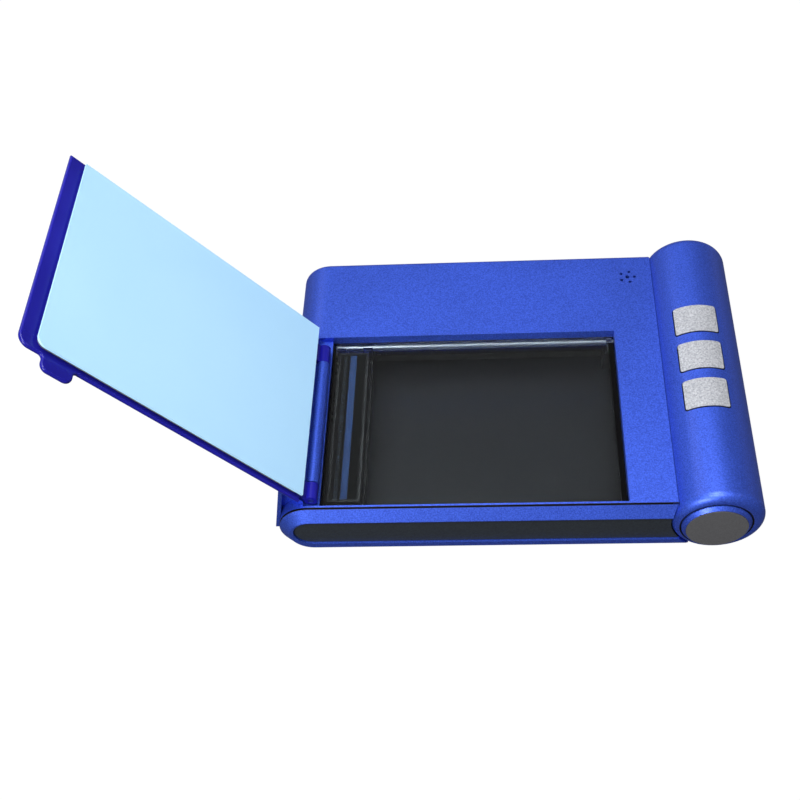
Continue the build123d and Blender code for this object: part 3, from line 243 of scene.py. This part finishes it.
def finish_material(
    name, dark, light, rough=(0.4, 0.5), bump=0.1, depth=0.00005, drift=30, grain=1500,
    stretch=(1, 1, 1), mix_by="Drift", **plain
):
    """Two colours and two roughnesses mixed by drift or grain, a grain bump, and plain sockets."""
    material = bpy.data.materials.new(name)
    material.use_nodes = True
    tree = material.node_tree
    shader = tree.nodes["Principled BSDF"]
    effect = place_group(
        tree, drift_group, Drift_Scale=drift, Grain_Scale=grain,
        Stretch_X=stretch[0], Stretch_Y=stretch[1], Stretch_Z=stretch[2],
    )
    share = stretch_range(tree, effect.outputs[mix_by], noise_low, noise_high)
    link_nodes(tree, blend_colours(tree, share, dark, light), shader.inputs["Base Color"])
    polish = stretch_range(tree, effect.outputs["Drift"], noise_low, noise_high, *rough)
    link_nodes(tree, polish, shader.inputs["Roughness"])
    relief = tree.nodes.new("ShaderNodeBump")
    relief.inputs["Strength"].default_value = bump
    relief.inputs["Distance"].default_value = depth
    link_nodes(tree, effect.outputs["Grain"], relief.inputs["Height"])
    link_nodes(tree, relief.outputs[0], shader.inputs["Normal"])
    for socket, value in plain.items():
        shader.inputs[socket.replace("_", " ")].default_value = value
    return material


print("noise is used from", noise_low, "to", noise_high)

# %% [markdown]
# ## Blue paint
# The case wears a satin blue lacquer with metal flakes. The flakes gather in a mottle of lighter
# blue, just under a millimetre wide, and a thin clear coat gives the soft highlight. The inside
# stays bare dark plastic, so the box mask swaps the colour there and takes the metal away. A box
# that starts and ends at one far corner holds nothing, which leaves a piece painted all over.

# %% The case's paint
flake_dark, flake_light = (0.026, 0.066, 0.47), (0.062, 0.144, 0.78)
flake_metal, flake_scale = 0.8, 1600
# This dark colour is bare plastic inside the case, and painted shade in the bezel's groove, round the caps and on
# the buttons' sides.
plastic_and_painted_shade = (0.010, 0.010, 0.013)
far_corner = (1, 1, 1)
inner_low, inner_high = (-0.092, -0.0726, 0.0034), (0.0708, 0.0746, 0.0272)


def box_mask(tree, low, high):
    """1 inside the box from low to high."""
    inside = place_group(
        tree, box_group, Low_X=low[0], High_X=high[0], Low_Y=low[1], High_Y=high[1],
        Low_Z=low[2], High_Z=high[2],
    )
    return inside.outputs["Mask"]


def show_plastic_and_shade(material, mask, where_one=True):
    """Swaps the material's colour for the dark colour where the mask is 1, or else where it is 0: bare plastic on
    the case's inside, painted shade in the bezel's groove, round the caps and on the buttons' sides.
    """
    tree = material.node_tree
    shader = tree.nodes["Principled BSDF"]
    kept = shader.inputs["Base Color"].links[0].from_socket
    first, second = (kept, plastic_and_painted_shade) if where_one else (plastic_and_painted_shade, kept)
    link_nodes(tree, blend_colours(tree, mask, first, second), shader.inputs["Base Color"])


def painted(name, low, high):
    """Flaked paint that turns to the dark colour inside the box from low to high: bare plastic inside the case,
    painted shade in the bezel's groove.
    """
    material = finish_material(
        name, flake_dark, flake_light, rough=(0.46, 0.54), bump=0.12, depth=0.00004, drift=25,
        grain=flake_scale, mix_by="Grain", Specular_IOR_Level=0.2, Coat_Weight=0.4, Coat_Roughness=0.32,
    )
    tree = material.node_tree
    inside = box_mask(tree, low, high)
    show_plastic_and_shade(material, inside)
    metal = calculate(tree, "MULTIPLY_ADD", inside, -flake_metal, flake_metal)
    link_nodes(tree, metal, tree.nodes["Principled BSDF"].inputs["Metallic"])
    return material


blue_paint = painted("blue_paint", inner_low, inner_high)
outer_paint = painted("outer_blue_paint", far_corner, far_corner)
print("paint made, its mottle near", round(1000 / flake_scale, 2), "mm")

# %% [markdown]
# ## Moulded plastics, foam and board
# The lid is a deep blue-violet gloss plastic. Its inner board is smooth and pale, a white
# reference for the sensor. The grey trim has a fine spark-eroded grain, and inner plastics are
# near black so that nothing shines through the window.

# %% Plastics
lid_blue = finish_material(
    "lid_blue", (0.006, 0.005, 0.21), (0.011, 0.010, 0.29), rough=(0.24, 0.34), bump=0.06, drift=18,
    Specular_IOR_Level=0.3, Coat_Weight=0.08, Coat_Roughness=0.1,
)
white_board = finish_material(
    "white_board", (0.43, 0.72, 0.98), (0.47, 0.76, 1.0), rough=(0.30, 0.38), bump=0.03, drift=12,
    Specular_IOR_Level=0.25,
)
foam_grey = finish_material(
    "foam_grey", (0.06, 0.06, 0.07), (0.11, 0.11, 0.125), rough=(0.85, 0.95), bump=0.8, depth=0.0002,
    grain=3200, mix_by="Grain", Sheen_Weight=0.2,
)
grey_trim = finish_material(
    "grey_trim", (0.080, 0.080, 0.084), (0.112, 0.112, 0.118), rough=(0.42, 0.52), bump=0.25,
    grain=1700, mix_by="Grain",
)
dark_trim = finish_material(
    "dark_trim", (0.017, 0.020, 0.026), (0.029, 0.036, 0.044), rough=(0.48, 0.58), bump=0.2,
    grain=1700, mix_by="Grain", Specular_IOR_Level=0.2,
)
black_plastic = finish_material(
    "black_plastic", (0.006, 0.006, 0.007), (0.012, 0.012, 0.014), rough=(0.45, 0.6), bump=0.2, grain=2000
)
rubber = finish_material(
    "rubber", (0.012, 0.012, 0.012), (0.022, 0.022, 0.022), rough=(0.75, 0.9), bump=0.3, depth=0.0001,
    grain=1800, mix_by="Grain",
)
acetal = finish_material(
    "acetal", (0.66, 0.65, 0.60), (0.74, 0.73, 0.68), rough=(0.35, 0.45), bump=0.05, Subsurface_Weight=0.05
)
light_guide = finish_material(
    "light_guide", (0.03, 0.07, 0.24), (0.05, 0.10, 0.32), rough=(0.15, 0.2), bump=0.02
)
lens_black = finish_material(
    "lens_black", (0.006, 0.008, 0.014), (0.014, 0.020, 0.046), rough=(0.12, 0.2), grain=1700,
    stretch=(0.05, 1, 0.05), mix_by="Grain",
)
print("plastics, foam and rubber made")

# %% [markdown]
# ## Buttons
# The three caps carry a thick silver paint with a coarse hammered texture, lumps just under a
# millimetre wide. The lumps need real relief, so this bump is far deeper than the case's. Their
# sides carry painted shade, the dark of the gap round each button: only the skin beyond a radius
# from the bar's axis keeps its silver.

# %% Silver texture
silver_button = finish_material(
    "silver_button", (0.24, 0.25, 0.275), (0.52, 0.53, 0.565), rough=(0.36, 0.5), bump=0.7, depth=0.00025,
    drift=60, grain=1150, mix_by="Grain", Metallic=0.2,
)
bar_height = 0.0219
button_axis_x, button_shade_radius = 0.089, 0.0204


def paint_shade_by_radius(material, centre_x, radius, shade_beyond=False):
    """Paints shade in the dark colour on one side of a round skin, and keeps the material's colour on the other.
    """
    tree = material.node_tree
    skin = place_group(tree, skin_group, Centre_X=centre_x, Centre_Z=bar_height, Radius=radius)
    show_plastic_and_shade(material, skin.outputs["Mask"], shade_beyond)


# Painted shade: below this radius the buttons' sides take the dark colour of the gap round each button.
paint_shade_by_radius(silver_button, button_axis_x, button_shade_radius)
print("buttons bare below", button_shade_radius * 1000, "mm from the bar's axis")

# %% [markdown]
# The bar's end caps sit in round holes. Painted shade, a band of the dark colour on both sides
# of the joint, widens the dark ring of the gap between cap and case.

# %% Painted shade at the end caps' ring
cap_axis_x, shade_ring_inner, shade_ring_outer = 0.0879, 0.01535, 0.01605
cap_paint_ring_shade = painted("cap_paint_shaded_ring", far_corner, far_corner)
# Painted shade: a dark band on each side of the joint round the caps.
paint_shade_by_radius(cap_paint_ring_shade, cap_axis_x, shade_ring_inner, shade_beyond=True)
paint_shade_by_radius(blue_paint, cap_axis_x, shade_ring_outer)
print("bare ring from", shade_ring_inner * 1000, "to", shade_ring_outer * 1000, "mm")

# %% [markdown]
# The front bezel meets the case in a narrow groove. Both its walls and the deck's front edge
# carry painted shade in the dark colour. A dark line drawn in the colour would slide away at
# another angle, while boxes of coordinates stay on the walls. The second box takes in the
# corner where the deck meets the round bar.

# %% Painted shade in the front bezel's groove
groove_shade_boxes = [
    ((-1, -1, -1), (0.0686, -0.0742, 1)),
    ((0.068, -1, 0.0312), (0.0713, -0.0742, 1)),
]
# Painted shade: the deck's front edge and the case's side of the groove turn dark.
for low, high in groove_shade_boxes:
    show_plastic_and_shade(blue_paint, box_mask(blue_paint.node_tree, low, high))
bezel_paint_groove_shade = painted("bezel_paint_shaded_groove", (-1, -0.0753, -1), far_corner)
# The bezel's wall in the groove also carries painted shade.
print("bezel groove left bare")

# %% [markdown]
# ## Metals
# A ground shaft and stamped plates show fine scratches. Their grain is stretched: scratches run
# round the shaft and along the plates. Zinc and brass parts are too small for scratches to show.

# %% Metal finishes
polished_steel = finish_material(
    "polished_steel", (0.78, 0.84, 0.89), (0.88, 0.92, 0.95), rough=(0.30, 0.38), grain=900,
    stretch=(2, 0.1, 0.1), mix_by="Grain", Metallic=1.0,
)
steel = finish_material(
    "steel", (0.50, 0.51, 0.53), (0.66, 0.67, 0.69), rough=(0.2, 0.3), bump=0.15, grain=900,
    stretch=(0.06, 2, 2), mix_by="Grain", Metallic=1.0,
)
zinc = finish_material(
    "zinc", (0.55, 0.56, 0.57), (0.68, 0.69, 0.68), rough=(0.22, 0.34), bump=0.05, Metallic=1.0
)
brass = finish_material(
    "brass", (0.50, 0.34, 0.11), (0.66, 0.48, 0.19), rough=(0.25, 0.35), bump=0.05, Metallic=1.0
)
print("four metals made")

# %% [markdown]
# ## Circuit boards
# Green solder resist with slightly lighter copper tracks under it. A brick texture with long
# thin cells stands for the tracks, in Object coordinates so that they keep their width.

# %% Board material
board_green = finish_material(
    "board_green", (0.008, 0.075, 0.030), (0.012, 0.105, 0.045), rough=(0.25, 0.35), bump=0.05,
    Coat_Weight=0.4,
)
track_green = (0.03, 0.20, 0.09)
tree = board_green.node_tree
shader = tree.nodes["Principled BSDF"]
tracks = tree.nodes.new("ShaderNodeTexBrick")
for label, value in (("Scale", 220), ("Mortar Size", 0.06), ("Mortar Smooth", 0.1), ("Brick Width", 2.4)):
    tracks.inputs[label].default_value = value
link_nodes(tree, object_place(tree), tracks.inputs["Vector"])
resist = shader.inputs["Base Color"].links[0].from_socket
with_tracks = blend_colours(tree, tracks.outputs["Fac"], resist, track_green)
link_nodes(tree, with_tracks, shader.inputs["Base Color"])
print("circuit board made")

# %% [markdown]
# ## Glass
# A clear pane shows what lies under it and mirrors the light above. Transmission on the shader
# does both. Its colour is a very pale green-grey, and its index of refraction is a little lower
# than plain glass has, since a coated pane mirrors less. Faint smears roughen it here and there.

# %% Window glass
window = bpy.data.materials.new("window")
window.use_nodes = True
tree = window.node_tree
shader = tree.nodes["Principled BSDF"]
shader.inputs["Base Color"].default_value = (0.90, 0.96, 0.97, 1)
shader.inputs["Transmission Weight"].default_value = 1.0
shader.inputs["IOR"].default_value = 1.42
smears = place_group(tree, drift_group, Drift_Scale=22, Grain_Scale=500)
smear_roughness = stretch_range(tree, smears.outputs["Drift"], 0.45, 0.75, 0.0, 0.06)
link_nodes(tree, smear_roughness, shader.inputs["Roughness"])
print("glass made")

# %% [markdown]
# ## Dressing the solids
# The record names a finish for every node. Four painted pieces take a variant of the blue: the
# hinge's piece lies outside the case, and the bezel and the bar's caps carry their own painted shade at the edges.

# %% Give every solid node its finish
finishes = {
    "blue_paint": blue_paint, "lid_blue": lid_blue, "white_board": white_board, "foam": foam_grey,
    "silver_button": silver_button, "grey_trim": grey_trim, "window": window, "steel": steel,
    "zinc": zinc, "black_plastic": black_plastic, "rubber": rubber, "board_green": board_green,
    "light_guide": light_guide, "brass": brass, "acetal": acetal, "dark_trim": dark_trim,
    "lens_black": lens_black, "polished_steel": polished_steel,
}
variants = {
    "hinge_housing": outer_paint, "front_bezel": bezel_paint_groove_shade,
    "console_front_cap": cap_paint_ring_shade, "console_rear_cap": cap_paint_ring_shade,
}
slot_of = {part["node"]: part["material_slot"] for part in frame["record"]["subparts"]}
for name, piece in nodes.items():
    material = variants.get(name, finishes[slot_of[name]])
    if not piece.data.materials:
        piece.data.materials.append(material)
    for index in range(len(piece.data.materials)):
        piece.data.materials[index] = material
print(len(nodes), "nodes have a finish")

# %% [markdown]
# ## Springs
# The solids keep each hidden spring as a tube of its outer size. The real ones are wire, so each
# tube is replaced by a helix: a circle of wire carried along a turning line. Both ends close flat.


# %% Wire helix as a surface
def sheet_quads(index):
    """Four-cornered faces between neighbouring rows of a grid that closes around its columns."""
    after = np.roll(index, -1, axis=1)
    return np.stack([index[:-1], after[:-1], after[1:], index[1:]], axis=-1).reshape(-1, 4)


def surface_piece(name, points, material, body):
    """A grid of points, rows along the piece and columns around it, made a closed mesh with end fans."""
    rows, columns = points.shape[:2]
    index = np.arange(rows * columns).reshape(rows, columns)
    after = np.roll(index, -1, axis=1)
    middle = np.array([points[0].mean(0), points[-1].mean(0)])
    vertices = np.vstack([points.reshape(-1, 3), middle])
    first, last = rows * columns, rows * columns + 1
    caps = np.vstack([
        np.stack([after[0], index[0], np.full(columns, first)], -1),
        np.stack([index[-1], after[-1], np.full(columns, last)], -1),
    ])
    mesh = bpy.data.meshes.new(name)
    mesh.from_pydata(vertices.tolist(), [], sheet_quads(index).tolist() + caps.tolist())
    mesh.update()
    mesh.shade_smooth()
    mesh.materials.append(material)
    piece = bpy.data.objects.new(name, mesh)
    bpy.context.scene.collection.objects.link(piece)
    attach(piece, body)
    return piece


def coil_points(start, axis, length, radius, wire, turns, around=10, per_turn=28):
    """The line circles the axis at a fixed radius while it climbs; its ends climb slower, so the
    last turns lie flat. Each ring of wire points lies across the line."""
    t = np.linspace(0, 1, int(turns * per_turn) + 1)
    climb = np.clip((t * turns - 1) / (turns - 2), 0, 1)
    height = wire + (length - 2 * wire) * climb
    angle = t * turns * math.tau
    axis = np.array(axis, float)
    side = np.array([axis[2], axis[0], axis[1]])
    other = np.cross(axis, side)
    outward = np.cos(angle)[:, None] * side + np.sin(angle)[:, None] * other
    line = np.array(start) + outward * radius + height[:, None] * axis
    ring = np.arange(around) * math.tau / around
    across = np.cos(ring)[None, :, None] * outward[:, None, :] + np.sin(ring)[None, :, None] * axis
    return line[:, None, :] + across * wire


def spring_from_tube(name, axis, start, length, radius, turns, body):
    """Makes the coil that stands for one tube, in wire of 0.4 mm."""
    wire = 0.0002
    points = coil_points(start, axis, length, radius - wire, wire, turns)
    return surface_piece(name, points, steel, body)


# %% Make the three springs
low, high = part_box("sensor_springs")
radius = (high.x - low.x) / 2
middle_x = (low.x + high.x) / 2
for label, y in (("front", low.y + radius), ("back", high.y - radius)):
    spring_from_tube(
        "sensor_spring_" + label, (0, 0, 1), (middle_x, y, low.z),
        high.z - low.z, radius, 4, "scan_carriage",
    )
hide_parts("sensor_springs")
low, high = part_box("idler_spring")
radius = (high.z - low.z) / 2
tension_coil = spring_from_tube(
    "tension_spring", (1, 0, 0), (low.x, (low.y + high.y) / 2, (low.z + high.z) / 2),
    high.x - low.x, radius, 9, "case",
)
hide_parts("idler_spring")

# %% [markdown]
# ## The lid's foam
# Between the lid's plate and its white board lies a thin sheet of foam, so that the board can
# settle flat on a document. Its sides bulge a little where it is pressed. The sheet is a rounded
# rectangle swept through its thickness with a half-round side, drawn as the lid lies closed and
# then turned about the hinge.

# %% Foam sheet as a swept outline
hinge = next(joint for joint in frame["joints"] if joint["name"] == "lid_hinge")
hinge_at = np.array(hinge["pos_m"])
open_angle = math.radians(129)


def opened(points):
    """Turns points about the hinge's axis by the open angle."""
    x, z = points[..., 0] - hinge_at[0], points[..., 2] - hinge_at[2]
    turned = points.copy()
    turned[..., 0] = hinge_at[0] + x * math.cos(open_angle) - z * math.sin(open_angle)
    turned[..., 2] = hinge_at[2] + x * math.sin(open_angle) + z * math.cos(open_angle)
    return turned


def rounded_outline(left, right, front, back, radius, count=48):
    """Corners one after the other: each is a quarter circle about its own centre."""
    quarter = np.linspace(0, math.pi / 2, count // 4)
    centres = [(right - radius, back - radius), (left + radius, back - radius),
               (left + radius, front + radius), (right - radius, front + radius)]
    runs = []
    for corner, (centre_x, centre_y) in enumerate(centres):
        angle = quarter + corner * math.pi / 2
        runs.append(np.stack([centre_x + radius * np.cos(angle), centre_y + radius * np.sin(angle)], -1))
    return np.vstack(runs)


def foam_sheet():
    """Outlines stacked through the thickness; each grows outward by the bulge times the sine of
    how far through the sheet it lies."""
    bulge, bottom, top = 0.0005, 0.02995, 0.03175
    base = rounded_outline(-0.0821, 0.0481, -0.0718, 0.0243, 0.003)
    centre = base.mean(0)
    reach = np.linalg.norm(base - centre, axis=1, keepdims=True)
    rings = []
    for level in np.linspace(0, 1, 9):
        grown = base + (base - centre) / reach * bulge * math.sin(math.pi * level)
        rings.append(np.column_stack([grown, np.full(len(grown), bottom + (top - bottom) * level)]))
    return opened(np.array(rings))


foam = surface_piece("foam_pad", foam_sheet(), foam_grey, "lid")
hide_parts("lid_foam_pad")
print("foam", len(foam.data.vertices), "points")

# %% [markdown]
# ## Studio
# A seamless white sweep: a floor that curves up into a low round wall. It shows white to the
# camera and through glass, yet keeps the object's soft shadow, because only part of its light is
# its own. In the paint's mirror it dims near the object, where the real floor lies in shade. One
# profile turned about the upright gives floor, curve and wall at once.


# %% Floor and wall in one sweep
def sweep_points(flat_radius, curve_radius, wall_height, around=96):
    """The profile runs out along the floor, round a quarter circle and up the wall; each of its
    points then goes round the upright at its own distance."""
    bend = np.linspace(0, math.pi / 2, 12)
    rim = flat_radius + curve_radius
    distance = np.concatenate([[0.001], flat_radius + curve_radius * np.sin(bend), [rim]])
    height = np.concatenate([[0], curve_radius * (1 - np.cos(bend)), [curve_radius + wall_height]])
    turn = np.arange(around) * math.tau / around
    across, deep = distance[:, None] * np.cos(turn), distance[:, None] * np.sin(turn)
    return np.stack([across, deep, np.repeat(height[:, None], around, 1)], axis=-1)


sweep = sweep_points(3.6, 0.3, 0.2)
rows, columns = sweep.shape[:2]
index = np.arange(rows * columns).reshape(rows, columns)
upward_quads = sheet_quads(index)[:, [0, 3, 2, 1]]
floor_mesh = bpy.data.meshes.new("floor")
floor_mesh.from_pydata(sweep.reshape(-1, 3).tolist(), [], upward_quads.tolist() + [index[0].tolist()])
floor_mesh.shade_smooth()
floor = bpy.data.objects.new("floor", floor_mesh)
bpy.context.scene.collection.objects.link(floor)
print("sweep", rows, "x", columns, "points")

# %% [markdown]
# The paper of the sweep mixes a dim diffuse surface with a white glow. Light Path says who looks:
# the camera and glass see mostly the glow, a mirror sees some of it far out and none near the
# object, and the lamps' own light falls on the dim surface only.

# %% Paper that glows to the camera
paper_grey, paper_glow = 0.10, 1.09
glow_seen, glow_mirrored = 0.92, 0.4
shade_start, shade_end = 0.35, 1.00
floor_paper = bpy.data.materials.new("floor_paper")
floor_paper.use_nodes = True
tree = floor_paper.node_tree
tree.nodes.clear()
diffuse = tree.nodes.new("ShaderNodeBsdfDiffuse")
diffuse.inputs["Color"].default_value = (paper_grey, paper_grey, paper_grey, 1)
glow = tree.nodes.new("ShaderNodeEmission")
glow.inputs["Strength"].default_value = paper_glow
path = tree.nodes.new("ShaderNodeLightPath")
looker = calculate(tree, "MAXIMUM", path.outputs["Is Camera Ray"], path.outputs["Is Transmission Ray"])
straight = calculate(tree, "MULTIPLY", looker, glow_seen)
reach = add_node(tree, "ShaderNodeVectorMath", operation="LENGTH")
link_nodes(tree, object_place(tree), reach.inputs[0])
fade = stretch_range(tree, reach.outputs["Value"], shade_start, shade_end, 0.0, glow_mirrored)
mirrored = calculate(tree, "MULTIPLY", path.outputs["Is Glossy Ray"], fade)
mix = tree.nodes.new("ShaderNodeMixShader")
out = tree.nodes.new("ShaderNodeOutputMaterial")
link_nodes(tree, calculate(tree, "MAXIMUM", straight, mirrored), mix.inputs[0])
link_nodes(tree, diffuse.outputs[0], mix.inputs[1])
link_nodes(tree, glow.outputs[0], mix.inputs[2])
link_nodes(tree, mix.outputs[0], out.inputs[0])
floor_mesh.materials.append(floor_paper)
print("paper glows", glow_seen, "to the camera and up to", glow_mirrored, "in a mirror")

# %% [markdown]
# The world fills the shadows with a weak, slightly cool light from all round. Low views look over
# the sweep's wall, so the world adds white that only the camera sees.

# %% World
fill_light, white_to_camera = 0.2, 0.85
world = bpy.data.worlds.new("studio")
bpy.context.scene.world = world
world.use_nodes = True
tree = world.node_tree
background = tree.nodes["Background"]
background.inputs["Color"].default_value = (0.96, 0.97, 1.0, 1)
path = tree.nodes.new("ShaderNodeLightPath")
seen = calculate(tree, "MULTIPLY", path.outputs["Is Camera Ray"], white_to_camera)
link_nodes(tree, calculate(tree, "ADD", seen, fill_light), background.inputs["Strength"])
print("world lights at", fill_light, "and shows white to the camera")

# %% [markdown]
# ## Lamps
# A broad box overhead lights the deck and the lid's board. One at the left back rounds off the far
# edges, one at the front left brings out the bezel and the cap, and a narrow strip adds to the
# deck's front. A small box with a grid, which keeps its beam tight, faces the board from the right.


# %% Soft boxes
def soft_box(name, at, towards, width, height, power):
    """An area lamp at one point, facing another."""
    lamp = bpy.data.lights.new(name, "AREA")
    lamp.shape, lamp.size, lamp.size_y = "RECTANGLE", width, height
    lamp.energy = power
    piece = bpy.data.objects.new(name, lamp)
    bpy.context.scene.collection.objects.link(piece)
    piece.location = at
    aim = Vector(towards) - Vector(at)
    piece.rotation_mode = "QUATERNION"
    piece.rotation_quaternion = aim.to_track_quat("-Z", "Y")
    return piece


soft_box("top_box", (-0.12, 0.05, 1.3), (0, 0, 0.02), 0.8, 0.5, 11.6)
soft_box("window_box", (-0.7, 0.55, 0.85), (0, 0, 0.03), 0.6, 0.6, 2.0)
soft_box("front_box", (-0.6, -1.0, 0.7), (0, 0, 0.02), 0.6, 0.3, 12.5)
soft_box("strip_box", (-0.03, -0.45, 1.15), (0, 0.03, 0.02), 0.5, 0.12, 6.0)
grid_box = soft_box("grid_box", (0.85, -0.1, 0.75), (-0.135, -0.02, 0.085), 0.2, 0.2, 0.025)
grid_box.data.spread = math.radians(22)
bpy.context.scene.view_settings.view_transform = "Standard"
print("four soft boxes, and one with a grid")
